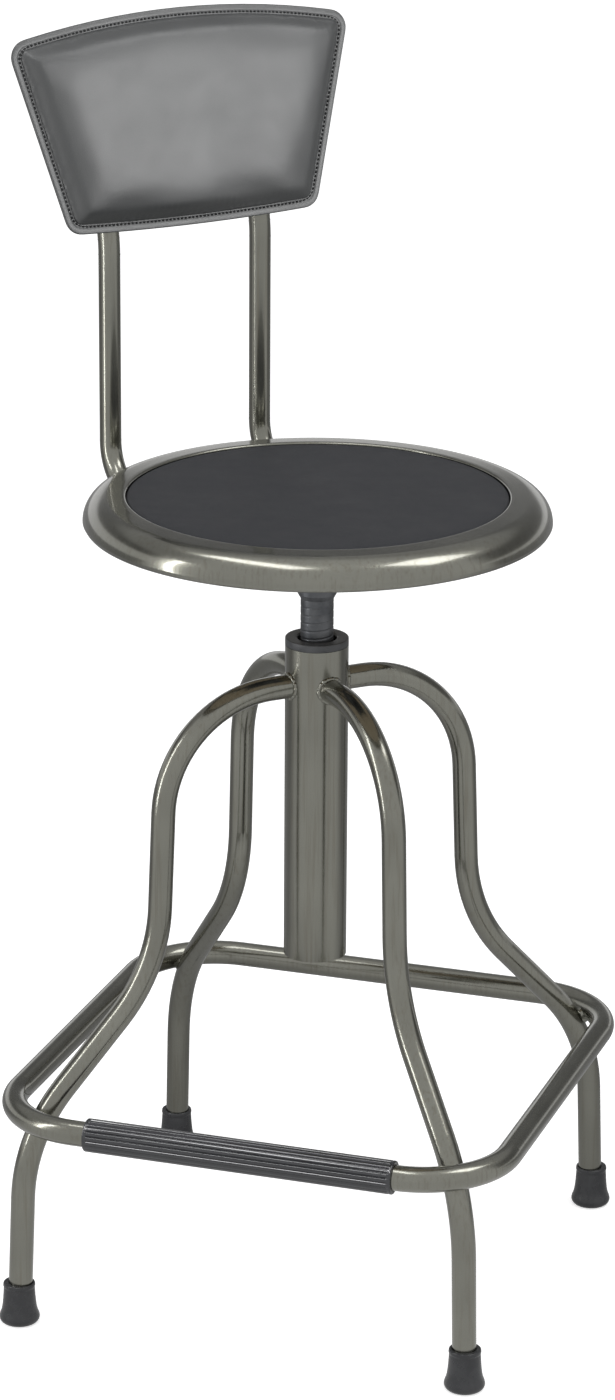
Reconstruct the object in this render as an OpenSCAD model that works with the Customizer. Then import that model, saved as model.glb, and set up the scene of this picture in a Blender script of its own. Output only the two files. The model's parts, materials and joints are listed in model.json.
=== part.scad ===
// Drafting chair: a round steel seat on a screw lift, with a padded back, on four bent tube legs.
// Millimetres, +Z up. The origin is on the floor, on the axis of the column.
// The front of the base, where the footrest sleeve is, faces -Y.

/* [Seat] */
// Height of the top of the seat rim above the floor, at rest
seat_height = 650; // [646:1:654]
// Turn of the seat on its screw at rest, 0 faces the front of the base
seat_turn = 48; // [0:1:360]
// Outside diameter of the seat pan
pan_d = 365; // [350:1:380]
// Diameter of the recess that holds the seat pad
recess_d = 298; // [280:1:304]
// Depth of the recess below the rim
recess_depth = 6; // [5:0.5:7]
// Radius of the rounded outer edge of the rim
rim_round = 20; // [16:1:22]
// Thickness of the pan's sheet steel
sheet = 1.5; // [1:0.1:2]
// Thickness of the seat pad
pad_thick = 5; // [4:0.5:5]
// Diameter of the board under the pan
board_d = 300; // [290:1:310]
// Thickness of the board under the pan
board_thick = 19; // [17:0.5:19]

/* [Back] */
// Distance between the axes of the two uprights
upright_gap = 137; // [130:1:150]
// Outside diameter of an upright tube
upright_d = 17.5; // [16:0.5:18]
// Distance of the uprights from the seat's axis
upright_back = 216; // [208:1:220]
// Radius of the bend under the seat, on the tube's axis
upright_bend = 35; // [30:1:40]
// Rearward lean of the back pad and of the uprights behind it, in degrees
back_lean = 9; // [4:0.5:12]
// Height of the lower corners of the back pad above the seat rim
back_low = 176; // [150:1:200]
// Height of the back pad between its corners, along the lean
back_h = 152; // [140:1:170]
// Width of the back pad at its upper corners
back_top_w = 307; // [290:1:320]
// Width of the back pad at its lower corners
back_low_w = 223; // [210:1:240]
// Rise of the arched upper edge above its corners
back_arch = 17; // [8:1:22]
// Thickness of the back cushion in front of its board
cushion_thick = 18; // [12:1:24]

/* [Lift] */
// Diameter of the lift screw
screw_d = 26; // [24:1:28]
// Rise of the seat for each turn of the screw
screw_pitch = 6.35; // [5:0.05:7]
// Turns from rest down to the lowest seat height
turns_down = 6; // [1:1:6]
// Turns from rest up to the highest seat height
turns_up = 12; // [1:1:12]

/* [Base] */
// Outside diameter of the column tube
column_d = 50; // [48:1:52]
// Wall thickness of the column tube
column_wall = 2.5; // [2:0.5:3]
// Height of the column tube's open lower end
column_low = 270; // [250:1:290]
// Height of the column tube's upper end
column_top = 528; // [524:1:530]
// Outside diameter of the leg tubes
leg_d = 19.05; // [18:0.05:20]
// Wall thickness of the leg and ring tubes
tube_wall = 1.5; // [1.2:0.1:2]
// Height of the leg's axis where it meets the column
leg_top = 496.6; // [490:0.1:500]
// Distance from the column's axis to the upper end of the leg's steep stretch
leg_shoulder = 133; // [128:1:138]
// Bend radius of the leg's shoulder
shoulder_bend = 92.7; // [85:0.1:98]
// Height at which the leg starts to turn outward
knee_height = 329.9; // [325:0.1:335]
// Bend radii of the outward bend and of the bend back to upright
knee_bend = 135; // [130:1:140]
// Slope of the outward stretch, in degrees from vertical
leg_slope = 43.2; // [40:0.1:46]
// Splay of the steep stretches, in degrees from vertical
leg_splay = 2.3; // [1:0.1:3]
// Distance from the column's axis to the middle of a foot
foot_reach = 260.3; // [255:0.1:266]

/* [Foot ring] */
// Half of the ring's width, on the tube's axis
ring_half = 201.5; // [200:0.5:203]
// Height of the ring's axis
ring_height = 176.4; // [172:0.1:180]
// Outside diameter of the ring tube
ring_d = 20; // [19:0.5:21]
// Length of the ribbed footrest sleeve
sleeve_len = 250; // [200:1:252]
// Offset of the sleeve's middle towards +X
sleeve_shift = 6; // [0:1:6]
// Outside diameter of the sleeve over its ribs
sleeve_d = 26.2; // [25:0.1:28]
// Number of grooves round the sleeve
groove_count = 20; // [12:1:24]

/* [Feet] */
// Height of a rubber foot
foot_h = 34; // [30:1:40]
// Largest diameter of a rubber foot
foot_d = 32; // [30:1:36]

/* [Hidden] */
$fn = 96;
fine_fn = 288;
eps = 0.5;

// Column, nut and collar
column_r = column_d / 2;
bore_r = column_r - column_wall;
collar_h = 6;
collar_bore_r = 15.5;
spigot_h = 14;
slip = 0.1;
nut_low = 480;
nut_h = 32;
running = 0.05;

// Legs: points of the path in the (distance, height) plane of one leg
leg_r = leg_d / 2;
leg_yaws = [225, 315, 45, 135];
shoulder_start = leg_shoulder - shoulder_bend * cos(leg_splay);
steep_top = leg_top - shoulder_bend * (1 - sin(leg_splay));
steep_len = (steep_top - knee_height) / cos(leg_splay);
knee_r = leg_shoulder + steep_len * sin(leg_splay);
bend_out = knee_bend * (cos(leg_splay) - cos(leg_slope));
bend_down = knee_bend * (sin(leg_slope) - sin(leg_splay));
rest_out = foot_reach - knee_r - 2 * bend_out;
rest_down = knee_height - 2 * bend_down;
slope_len = (rest_out * cos(leg_splay) - rest_down * sin(leg_splay)) / sin(leg_slope - leg_splay);
shin_len = (rest_down - slope_len * cos(leg_slope)) / cos(leg_splay);
slope_top = [knee_r + bend_out, knee_height - bend_down];
slope_end = slope_top + slope_len * [sin(leg_slope), -cos(leg_slope)];
ankle = slope_end + [bend_out, -bend_down];
leg_joints = [
    [[shoulder_start, leg_top], 90], [[leg_shoulder, steep_top], leg_splay],
    [[knee_r, knee_height], leg_splay], [slope_top, leg_slope],
    [slope_end, leg_slope], [ankle, leg_splay]
];
joint_len = 1;
joint_skin = 0.02;
upright_joint_skin = 0.1;
// Centre of the lower bend, which the foot ring is tangent to
ankle_centre = slope_end - knee_bend * [cos(leg_slope), sin(leg_slope)];

// Foot ring
ring_r = ring_d / 2;
weld_gap = 0.05;
ring_reach_r = knee_bend + leg_r + ring_r + weld_gap;
ring_rise = ring_height - ankle_centre[1];
ring_diagonal = ankle_centre[0] + sqrt(ring_reach_r * ring_reach_r - ring_rise * ring_rise);
ring_corner = (ring_half * sqrt(2) - ring_diagonal) / (sqrt(2) - 1);
ring_straight = ring_half - ring_corner;
weld_tilt = asin(ring_rise / ring_reach_r);
weld_r = 7;
weld_core_r = 2;
weld_ease = 0.4;
column_weld_w = 4;
column_weld_rise = 5;
groove_w = 1.6;
groove_depth = 1.2;

// Feet: the leg ends on a steel washer inside each rubber foot
foot_base_r = foot_d / 2;
foot_round = 5;
foot_lip_r = 12.6;
foot_lip_h = 2.5;
foot_step = 0.5;
foot_body_top_r = foot_lip_r - 0.3;
foot_body_mid_r = foot_lip_r + 0.4;
foot_flare_low_r = foot_base_r - 0.3;
foot_flare_top_r = foot_base_r - 2.2;
foot_flare_z = foot_round + 1.7;
foot_floor = 8;
washer_h = 1.5;

// Lift screw and guide bush
screw_r = screw_d / 2;
bush_h = 20;
bush_headroom = 3.8;
bush_low = nut_low - turns_up * screw_pitch - bush_headroom - bush_h;
end_play = 0.3;
journal_r = 9;
shoulder_z = bush_low + bush_h + end_play;
journal_low = bush_low - end_play;
guide_washer_r = 14;
guide_washer_h = 2;
guide_bolt_r = 4;
guide_hole_h = bush_h + 2;
guide_head_r = 7.5;
guide_head_h = 6;
hub_r = 20;
hub_clearance = 4.9;
hub_low = column_top + collar_h + turns_down * screw_pitch + hub_clearance;
hub_chamfer = 6;
neck_r = 15.3;
neck_h = 11;
neck_chamfer = 4;
plate_w = 110;
plate_h = 4;

// Seat levels, from the rim down
pan_r = pan_d / 2;
recess_r = recess_d / 2;
recess_z = seat_height - recess_depth;
pan_floor_z = recess_z - sheet;
board_low = pan_floor_z - board_thick;
plate_low = board_low - plate_h;
rim_centre = [pan_r - rim_round, seat_height - rim_round];
curl_round = 5;
pad_side_gap = 0.5;

// Bolts and nuts under the seat
bolt_r = 3;
bolt_head_r = 6;
bolt_head_h = 2;
nut_r = 5.8;
bolt_nut_h = 5;
bolt_tail = 3;
plate_bolt_xy = 42;
upright_bolt_ys = [40, 110];

// Uprights
upright_r = upright_d / 2;
upright_z = board_low - upright_r;
upright_x = upright_gap / 2;
run_front = 20;
run_back = upright_back - upright_bend;
upright_foot_z = upright_z + upright_bend;
lean_bend = 80;
lean_len = 128;
cap_h = 3;
cap_plug = 10;

// Back pad, in the leaning frame of the uprights, which starts where their upper bend ends
back_start = 8;
back_corner = 14;
back_low_arch = 3;
flange_w = 7.5;
flange_thick = 3.2;
cover_thick = 1.5;
back_board_thick = 10;
board_front = upright_r + cover_thick + back_board_thick;
lean_low_z = seat_height + back_low - board_front * sin(back_lean) - back_start * cos(back_lean);
lean_foot_z = lean_low_z - lean_bend * sin(back_lean);
arch_steps = 16;
screw_heights = [30, 95];
wood_screw_r = 2.5;
wood_screw_head_r = 5;
wood_screw_head_h = 2.4;
wood_screw_len = 26;

pewter = [0.42, 0.41, 0.37];
black_steel = [0.28, 0.29, 0.30];
zinc = [0.70, 0.71, 0.72];
rubber = [0.16, 0.17, 0.17];
vinyl = [0.24, 0.25, 0.27];
plywood = [0.72, 0.58, 0.40];
nylon = [0.85, 0.84, 0.80];

// Tube pieces: each runs up +Z from the origin, and a bend turns towards +X
module tube_section(r, wall) {
    difference() {
        circle(r);
        circle(r - wall);
    }
}

module straight_tube(r, wall, length) {
    linear_extrude(length) tube_section(r, wall);
}

module bent_tube(r, wall, bend, turn) {
    translate([bend, 0, 0]) rotate([90, 0, 0]) mirror([1, 0, 0])
        rotate_extrude(angle = turn) translate([bend, 0]) tube_section(r, wall);
}

// A short ring over each joint of two tube pieces, thicker than them by a skin, so that they are one solid
module tube_joint(r, wall, skin = joint_skin) {
    translate([0, 0, -joint_len / 2]) linear_extrude(joint_len) difference() {
        circle(r + skin);
        circle(r - wall - skin);
    }
}

module upright_joint() {
    tube_joint(upright_r, tube_wall, upright_joint_skin);
}

// Places a leg's piece: at a point of the leg's plane, heading in degrees from straight down
module on_leg(point, heading) {
    translate([point[0], 0, point[1]]) rotate([0, 180 - heading, 0]) children();
}

module on_ring_contact(distance) {
    translate([ankle_centre[0], 0, ankle_centre[1]]) rotate([0, 90 - weld_tilt, 0])
        translate([0, 0, distance]) children();
}

module column_cut() {
    translate([0, 0, column_low]) cylinder(r = column_r, h = column_top - column_low);
}

module leg() {
    color(pewter) difference() {
        union() {
            on_leg([shoulder_start, leg_top], 90) mirror([0, 0, 1])
                straight_tube(leg_r, tube_wall, shoulder_start - bore_r);
            on_leg([shoulder_start, leg_top], 90)
                bent_tube(leg_r, tube_wall, shoulder_bend, 90 - leg_splay);
            on_leg([leg_shoulder, steep_top], leg_splay) straight_tube(leg_r, tube_wall, steep_len);
            on_leg([knee_r, knee_height], leg_splay) mirror([1, 0, 0])
                bent_tube(leg_r, tube_wall, knee_bend, leg_slope - leg_splay);
            on_leg(slope_top, leg_slope) straight_tube(leg_r, tube_wall, slope_len);
            on_leg(slope_end, leg_slope)
                bent_tube(leg_r, tube_wall, knee_bend, leg_slope - leg_splay);
            on_leg(ankle, leg_splay) straight_tube(leg_r, tube_wall, shin_len - foot_floor);
            for (joint = leg_joints) on_leg(joint[0], joint[1]) tube_joint(leg_r, tube_wall);
        }
        column_cut();
    }
}

module column_tube() {
    color(pewter) translate([0, 0, column_low])
        straight_tube(column_r, column_wall, column_top - column_low);
}

module top_collar() {
    color(black_steel) difference() {
        union() {
            translate([0, 0, column_top]) cylinder(r = column_r, h = collar_h);
            translate([0, 0, column_top - spigot_h]) cylinder(r = bore_r - slip, h = spigot_h);
        }
        translate([0, 0, column_top - spigot_h - eps])
            cylinder(r = collar_bore_r, h = spigot_h + collar_h + 2 * eps);
    }
}

module lift_nut() {
    color(zinc) translate([0, 0, nut_low]) difference() {
        cylinder(r = bore_r, h = nut_h);
        translate([0, 0, -eps]) cylinder(r = screw_r + running, h = nut_h + 2 * eps);
    }
}

module column_welds() {
    color(pewter) for (yaw = leg_yaws) rotate([0, 0, yaw]) difference() {
        translate([column_r - column_weld_w, 0, leg_top]) rotate([0, 90, 0])
            cylinder(r1 = leg_r + column_weld_rise, r2 = leg_r, h = 2 * column_weld_w);
        translate([0, 0, leg_top]) rotate([0, 90, 0])
            cylinder(r = leg_r, h = column_r + 2 * column_weld_w);
        column_cut();
    }
}

module foot_ring() {
    color(pewter) translate([0, 0, ring_height]) for (quarter = [0:3]) rotate([0, 0, 90 * quarter]) {
        translate([-ring_straight, -ring_half, 0]) rotate([0, 90, 0]) {
            straight_tube(ring_r, tube_wall, 2 * ring_straight);
            tube_joint(ring_r, tube_wall);
            translate([0, 0, 2 * ring_straight]) tube_joint(ring_r, tube_wall);
        }
        translate([ring_straight, -ring_straight, 0]) rotate([0, 0, -90])
            rotate_extrude(angle = 90) translate([ring_corner, 0]) tube_section(ring_r, tube_wall);
    }
}

module ring_welds() {
    color(pewter) for (yaw = leg_yaws) rotate([0, 0, yaw]) on_ring_contact(knee_bend) difference() {
        translate([0, 0, leg_r / 2]) cylinder(r = weld_r, h = (leg_r + ring_r) / 2);
        translate([0, 0, leg_r / 2 - eps]) cylinder(r = weld_core_r, h = (leg_r + ring_r) / 2 + 2 * eps);
        rotate([0, 90, 0]) translate([0, 0, -weld_r - eps])
            cylinder(r = leg_r, h = 2 * (weld_r + eps), $fn = fine_fn);
        translate([0, weld_r + eps, leg_r + ring_r + weld_gap]) rotate([90, 0, 0])
            cylinder(r = ring_r + weld_ease, h = 2 * (weld_r + eps), $fn = fine_fn);
    }
}

module footrest_sleeve() {
    color(rubber) translate([sleeve_shift - sleeve_len / 2, -ring_half, ring_height])
        rotate([0, 90, 0]) linear_extrude(sleeve_len) difference() {
            circle(sleeve_d / 2);
            circle(ring_r + joint_skin);
            for (i = [0:groove_count - 1]) rotate(360 * (i + 0.5) / groove_count)
                translate([sleeve_d / 2 - groove_depth, -groove_w / 2])
                    square([2 * groove_depth, groove_w]);
        }
}

module foot_profile() {
    translate([foot_base_r - foot_round, foot_round]) circle(foot_round);
    polygon([
        [0, 0], [foot_base_r - foot_round, 0], [foot_flare_low_r, foot_flare_z],
        [foot_flare_top_r, foot_h * 0.35], [foot_body_mid_r, foot_h * 0.55],
        [foot_body_top_r, foot_h - foot_lip_h - foot_step], [foot_lip_r, foot_h - foot_lip_h],
        [foot_lip_r, foot_h], [0, foot_h]
    ]);
}

module foot() {
    color(rubber) difference() {
        translate([foot_reach, 0, 0]) rotate_extrude() foot_profile();
        on_leg([foot_reach, 0], leg_splay) mirror([0, 0, 1])
            translate([0, 0, foot_floor - washer_h]) cylinder(r = leg_r, h = 2 * foot_h);
    }
}

module foot_washers() {
    color(zinc) for (yaw = leg_yaws) rotate([0, 0, yaw])
        on_leg([foot_reach, 0], leg_splay) mirror([0, 0, 1])
            translate([0, 0, foot_floor - washer_h]) cylinder(r = leg_r, h = washer_h);
}

module guide_bush() {
    color(nylon) translate([0, 0, bush_low]) difference() {
        cylinder(r = bore_r - slip, h = bush_h);
        translate([0, 0, -eps]) cylinder(r = journal_r + running, h = bush_h + 2 * eps);
    }
}

module lift_screw() {
    color(black_steel) difference() {
        union() {
            translate([0, 0, shoulder_z]) cylinder(r = screw_r, h = plate_low - shoulder_z);
            translate([0, 0, journal_low]) cylinder(r = journal_r, h = shoulder_z - journal_low);
        }
        translate([0, 0, journal_low - eps]) cylinder(r = guide_bolt_r, h = guide_hole_h + eps);
    }
}

module guide_washer() {
    color(zinc) translate([0, 0, journal_low - guide_washer_h]) difference() {
        cylinder(r = guide_washer_r, h = guide_washer_h);
        translate([0, 0, -eps]) cylinder(r = guide_bolt_r, h = guide_washer_h + 2 * eps);
    }
}

module guide_bolt() {
    color(zinc) translate([0, 0, journal_low - guide_washer_h]) {
        translate([0, 0, -guide_head_h]) cylinder(r = guide_head_r, h = guide_head_h, $fn = 6);
        cylinder(r = guide_bolt_r, h = guide_washer_h + bush_h);
    }
}

module seat_hub() {
    color(black_steel) difference() {
        union() {
            translate([0, 0, hub_low - neck_h])
                cylinder(r1 = screw_r + slip, r2 = neck_r, h = neck_chamfer);
            translate([0, 0, hub_low - neck_h + neck_chamfer])
                cylinder(r = neck_r, h = plate_low - hub_low + neck_h - neck_chamfer);
            translate([0, 0, hub_low]) cylinder(r1 = neck_r, r2 = hub_r, h = hub_chamfer);
            translate([0, 0, hub_low + hub_chamfer])
                cylinder(r = hub_r, h = plate_low - hub_low - hub_chamfer);
        }
        translate([0, 0, hub_low - neck_h - eps])
            cylinder(r = screw_r, h = plate_low - hub_low + neck_h + 2 * eps);
    }
}

// The places of the bolts, seen from above in the seat's own frame
module at_plate_bolts() {
    for (x = [-1, 1], y = [-1, 1]) translate([x * plate_bolt_xy, y * plate_bolt_xy, 0]) children();
}

module at_upright_bolts() {
    for (x = [-upright_x, upright_x], y = upright_bolt_ys) translate([x, y, 0]) children();
}

module bolt_holes(low, high) {
    translate([0, 0, low]) {
        at_plate_bolts() cylinder(r = bolt_r, h = high - low);
        at_upright_bolts() cylinder(r = bolt_r, h = high - low);
    }
}

module carriage_bolt(tail_z) {
    translate([0, 0, recess_z]) cylinder(r = bolt_head_r, h = bolt_head_h);
    translate([0, 0, tail_z]) cylinder(r = bolt_r, h = recess_z - tail_z);
}

module hex_nut(top_z) {
    translate([0, 0, top_z - bolt_nut_h]) difference() {
        cylinder(r = nut_r, h = bolt_nut_h, $fn = 6);
        translate([0, 0, -eps]) cylinder(r = bolt_r, h = bolt_nut_h + 2 * eps);
    }
}

module mount_plate() {
    color(black_steel) difference() {
        translate([-plate_w / 2, -plate_w / 2, plate_low]) cube([plate_w, plate_w, plate_h]);
        bolt_holes(plate_low - eps, board_low + eps);
    }
}

module pan_profile() {
    translate([0, pan_floor_z]) square([recess_r + sheet, sheet]);
    translate([recess_r, pan_floor_z]) square([sheet, recess_depth + sheet]);
    translate([recess_r, seat_height - sheet]) square([rim_centre[0] - recess_r, sheet]);
    intersection() {
        translate(rim_centre) difference() {
            circle(rim_round);
            circle(rim_round - sheet);
        }
        translate(rim_centre) square(rim_round);
    }
    intersection() {
        translate([pan_r - curl_round, rim_centre[1]]) difference() {
            circle(curl_round);
            circle(curl_round - sheet);
        }
        translate([pan_r - 2 * curl_round, rim_centre[1] - curl_round])
            square([2 * curl_round, curl_round]);
    }
}

module seat_pan() {
    color(pewter) difference() {
        rotate_extrude() pan_profile();
        bolt_holes(pan_floor_z - eps, recess_z + eps);
    }
}

module seat_board() {
    color(plywood) difference() {
        translate([0, 0, board_low]) cylinder(d = board_d, h = board_thick);
        bolt_holes(board_low - eps, pan_floor_z + eps);
    }
}

module seat_pad() {
    pocket_r = bolt_head_r + pad_side_gap;
    pocket_h = bolt_head_h + slip + eps;
    color(vinyl) difference() {
        translate([0, 0, recess_z]) cylinder(r = recess_r - pad_side_gap, h = pad_thick);
        translate([0, 0, recess_z - eps]) {
            at_plate_bolts() cylinder(r = pocket_r, h = pocket_h);
            at_upright_bolts() cylinder(r = pocket_r, h = pocket_h);
        }
    }
}

module plate_bolts() {
    color(zinc) at_plate_bolts() carriage_bolt(plate_low - bolt_nut_h - bolt_tail);
}

module plate_nuts() {
    color(zinc) at_plate_bolts() hex_nut(plate_low);
}

module upright_bolts() {
    color(zinc) at_upright_bolts() carriage_bolt(upright_z - upright_r - bolt_nut_h - bolt_tail);
}

module upright_nuts() {
    color(zinc) at_upright_bolts() hex_nut(upright_z - upright_r);
}

// The leaning frame of the uprights behind the pad: +Z along the tubes, +Y to the rear
module back_frame() {
    translate([0, upright_back + lean_bend * (1 - cos(back_lean)), lean_low_z])
        rotate([-back_lean, 0, 0]) children();
}

module upright(x) {
    color(pewter) difference() {
        translate([x, 0, 0]) {
            translate([0, run_front, upright_z]) rotate([-90, 0, 0])
                straight_tube(upright_r, tube_wall, run_back - run_front);
            translate([0, run_back, upright_z]) rotate([-90, 0, 0]) rotate([0, 0, -90])
                bent_tube(upright_r, tube_wall, upright_bend, 90);
            translate([0, upright_back, upright_foot_z])
                straight_tube(upright_r, tube_wall, lean_foot_z - upright_foot_z);
            translate([0, upright_back, lean_foot_z]) rotate([0, 0, 90])
                bent_tube(upright_r, tube_wall, lean_bend, back_lean);
            back_frame() straight_tube(upright_r, tube_wall, lean_len);
            translate([0, run_back, upright_z]) rotate([90, 0, 0]) upright_joint();
            translate([0, upright_back, upright_foot_z]) upright_joint();
            translate([0, upright_back, lean_foot_z]) upright_joint();
            back_frame() upright_joint();
        }
        translate([x, 0, 0]) for (y = upright_bolt_ys)
            translate([0, y, upright_z - upright_d]) cylinder(r = bolt_r, h = 2 * upright_d);
        back_frame() for (h = screw_heights)
            translate([x, upright_d, back_start + h]) rotate([90, 0, 0])
                cylinder(r = wood_screw_r, h = 2 * upright_d);
    }
}

// Each end of an upright is closed by a plug with a thin head
module end_cap() {
    cylinder(r = upright_r, h = cap_h);
    translate([0, 0, -cap_plug]) cylinder(r = upright_r - tube_wall - slip, h = cap_plug);
}

module upright_caps() {
    color(rubber) for (x = [-upright_x, upright_x]) translate([x, 0, 0]) {
        translate([0, run_front, upright_z]) rotate([90, 0, 0]) end_cap();
        back_frame() translate([0, 0, lean_len]) end_cap();
    }
}

// Outline of the back pad, its arched edges drawn as shallow parabolas
function arch(half_w, base, rise) = [
    for (i = [0:arch_steps])
        let (x = half_w * (1 - 2 * i / arch_steps), t = x / half_w)
        [x, base + rise * (1 - t * t)]
];

module back_outline(inset) {
    offset(r = back_corner) offset(delta = -back_corner - inset) polygon(concat(
        arch(back_top_w / 2, back_h, back_arch),
        arch(-back_low_w / 2, 0, -back_low_arch)
    ));
}

// A plate of the back pad: front is its distance in front of the uprights' axes
module back_layer(front, thick, inset) {
    back_frame() translate([0, -front + thick, back_start]) rotate([90, 0, 0])
        linear_extrude(thick) back_outline(inset);
}

module back_screw_holes() {
    back_frame() for (x = [-upright_x, upright_x], h = screw_heights)
        translate([x, 0, back_start + h]) rotate([90, 0, 0])
            cylinder(r = wood_screw_r, h = board_front);
}

module back_cover() {
    color(vinyl) difference() {
        back_layer(upright_r + cover_thick, cover_thick, flange_w);
        back_screw_holes();
    }
}

module back_board() {
    color(plywood) difference() {
        back_layer(board_front, back_board_thick, flange_w);
        back_screw_holes();
    }
}

module back_flange() {
    color(vinyl) difference() {
        back_layer(board_front, flange_thick, 0);
        back_layer(board_front + eps, flange_thick + 2 * eps, flange_w);
    }
}

module back_cushion() {
    color(vinyl) back_layer(board_front + cushion_thick, cushion_thick, flange_w);
}

module back_screws() {
    color(zinc) back_frame() for (x = [-upright_x, upright_x], h = screw_heights)
        translate([x, upright_r, back_start + h]) rotate([90, 0, 0]) {
            translate([0, 0, -wood_screw_head_h]) cylinder(r = wood_screw_head_r, h = wood_screw_head_h);
            cylinder(r = wood_screw_r, h = wood_screw_len);
        }
}

module seat_part() {
    rotate([0, 0, seat_turn]) children();
}

column_tube();
top_collar();
lift_nut();
column_welds();
rotate([0, 0, leg_yaws[0]]) leg();  // leg_front_left
rotate([0, 0, leg_yaws[1]]) leg();  // leg_front_right
rotate([0, 0, leg_yaws[2]]) leg();  // leg_back_right
rotate([0, 0, leg_yaws[3]]) leg();  // leg_back_left
foot_ring();
ring_welds();
footrest_sleeve();
rotate([0, 0, leg_yaws[0]]) foot();  // foot_front_left
rotate([0, 0, leg_yaws[1]]) foot();  // foot_front_right
rotate([0, 0, leg_yaws[2]]) foot();  // foot_back_right
rotate([0, 0, leg_yaws[3]]) foot();  // foot_back_left
foot_washers();
guide_bush();
seat_part() lift_screw();
seat_part() guide_washer();
seat_part() guide_bolt();
seat_part() seat_hub();
seat_part() mount_plate();
seat_part() seat_pan();
seat_part() seat_board();
seat_part() seat_pad();
seat_part() plate_bolts();
seat_part() plate_nuts();
seat_part() upright(-upright_x);  // back_upright_left
seat_part() upright(upright_x);  // back_upright_right
seat_part() upright_bolts();
seat_part() upright_nuts();
seat_part() upright_caps();
seat_part() back_cover();
seat_part() back_board();
seat_part() back_flange();
seat_part() back_cushion();
seat_part() back_screws();
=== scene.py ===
"""Looks of the drafting chair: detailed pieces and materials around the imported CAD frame.

Metres, +Z up. The seat's frame is turned about the column's axis, and the frame of the back pad
leans to the rear of it. Profiles, sections and names that end in _mm or _MM are in millimetres.
"""
import json
import math

import bpy
import bmesh
import numpy as np
from mathutils import Matrix, Vector


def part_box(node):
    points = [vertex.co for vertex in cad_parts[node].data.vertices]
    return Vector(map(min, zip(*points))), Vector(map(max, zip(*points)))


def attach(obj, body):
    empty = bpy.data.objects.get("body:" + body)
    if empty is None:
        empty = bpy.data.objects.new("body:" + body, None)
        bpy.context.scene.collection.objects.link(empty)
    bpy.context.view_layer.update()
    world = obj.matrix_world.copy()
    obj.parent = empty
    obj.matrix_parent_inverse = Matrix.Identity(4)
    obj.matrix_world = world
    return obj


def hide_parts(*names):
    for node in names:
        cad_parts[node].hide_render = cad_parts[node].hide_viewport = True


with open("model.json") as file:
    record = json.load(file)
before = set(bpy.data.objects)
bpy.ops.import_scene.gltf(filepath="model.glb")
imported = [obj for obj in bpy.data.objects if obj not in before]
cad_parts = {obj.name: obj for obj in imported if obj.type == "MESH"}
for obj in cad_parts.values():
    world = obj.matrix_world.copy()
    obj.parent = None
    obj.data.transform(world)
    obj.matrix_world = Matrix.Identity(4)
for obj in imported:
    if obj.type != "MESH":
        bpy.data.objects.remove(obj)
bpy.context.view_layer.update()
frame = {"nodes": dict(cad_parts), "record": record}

MM = 0.001
SEAT_TURN = math.radians(48)
BACK_LEAN = math.radians(9)
LEG_SPLAY = math.radians(2.3)
LEG_TUBE_RADIUS = 9.525 * MM
THREAD_PITCH = 6.35 * MM
BACK = Matrix.Rotation(SEAT_TURN, 4, "Z") @ Matrix.Rotation(-BACK_LEAN, 4, "X")
TO_BACK = np.array(BACK.inverted())[:3, :3]
REARWARD = BACK.to_3x3() @ Vector((0, 1, 0))


# Node materials

class Finish:
    """A Principled material whose textures are laid out on the object's own coordinates."""

    def __init__(self, name, **values):
        self.material = bpy.data.materials.new(name)
        self.material.use_nodes = True
        self.tree = self.material.node_tree
        self.shader = self.tree.nodes["Principled BSDF"]
        self.place = self.tree.nodes.new("ShaderNodeTexCoord").outputs["Object"]
        for socket, value in values.items():
            self.shader.inputs[socket.replace("_", " ")].default_value = value

    def node(self, kind, inputs=None, **settings):
        made = self.tree.nodes.new("ShaderNode" + kind)
        for name, value in settings.items():
            setattr(made, name, value)
        for socket, value in (inputs or {}).items():
            if isinstance(value, bpy.types.NodeSocket):
                self.tree.links.new(value, made.inputs[socket])
            else:
                made.inputs[socket].default_value = value
        return made

    def stretched(self, x, y, z):
        """The object's coordinates scaled along each axis."""
        return self.node("Mapping", {"Vector": self.place, "Scale": (x, y, z)}).outputs["Vector"]

    def noise(self, size_mm, detail=3.0, rough=0.55, place=None):
        """Smooth noise whose features are about size_mm across."""
        inputs = {"Vector": place or self.place, "Scale": 1 / (size_mm * MM), "Detail": detail,
                  "Roughness": rough}
        return self.node("TexNoise", inputs).outputs["Fac"]

    def cells(self, size_mm, feature="F1"):
        """Distances in a pattern of cells about size_mm across."""
        inputs = {"Vector": self.place, "Scale": 1 / (size_mm * MM)}
        return self.node("TexVoronoi", inputs, feature=feature).outputs["Distance"]

    def spread(self, value, low, high, out_low, out_high):
        """Maps a value from one range to another."""
        inputs = {"Value": value, "From Min": low, "From Max": high,
                  "To Min": out_low, "To Max": out_high}
        return self.node("MapRange", inputs).outputs["Result"]

    def math(self, operation, a, b):
        return self.node("Math", {0: a, 1: b}, operation=operation).outputs[0]

    def colours(self, value, first, second, low=0.35, high=0.65):
        """Two colours, blended where the value runs from low to high."""
        ramp = self.node("ValToRGB", {"Fac": value})
        for stop, place, colour in zip(ramp.color_ramp.elements, (low, high), (first, second)):
            stop.position = place
            stop.color = (*colour, 1)
        return ramp.outputs["Color"]

    def mixed(self, factor, first, second):
        return self.node("Mix", {0: factor, 6: first, 7: second}, data_type="RGBA").outputs[2]

    def bump(self, height, depth_mm, strength=1.0, under=None):
        inputs = {"Height": height, "Distance": depth_mm * MM, "Strength": strength}
        if under is not None:
            inputs["Normal"] = under
        return self.node("Bump", inputs).outputs["Normal"]

    def wire(self, **links):
        """Links outputs to the shader's sockets and returns the material."""
        for socket, output in links.items():
            self.tree.links.new(output, self.shader.inputs[socket.replace("_", " ")])
        return self.material


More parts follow.
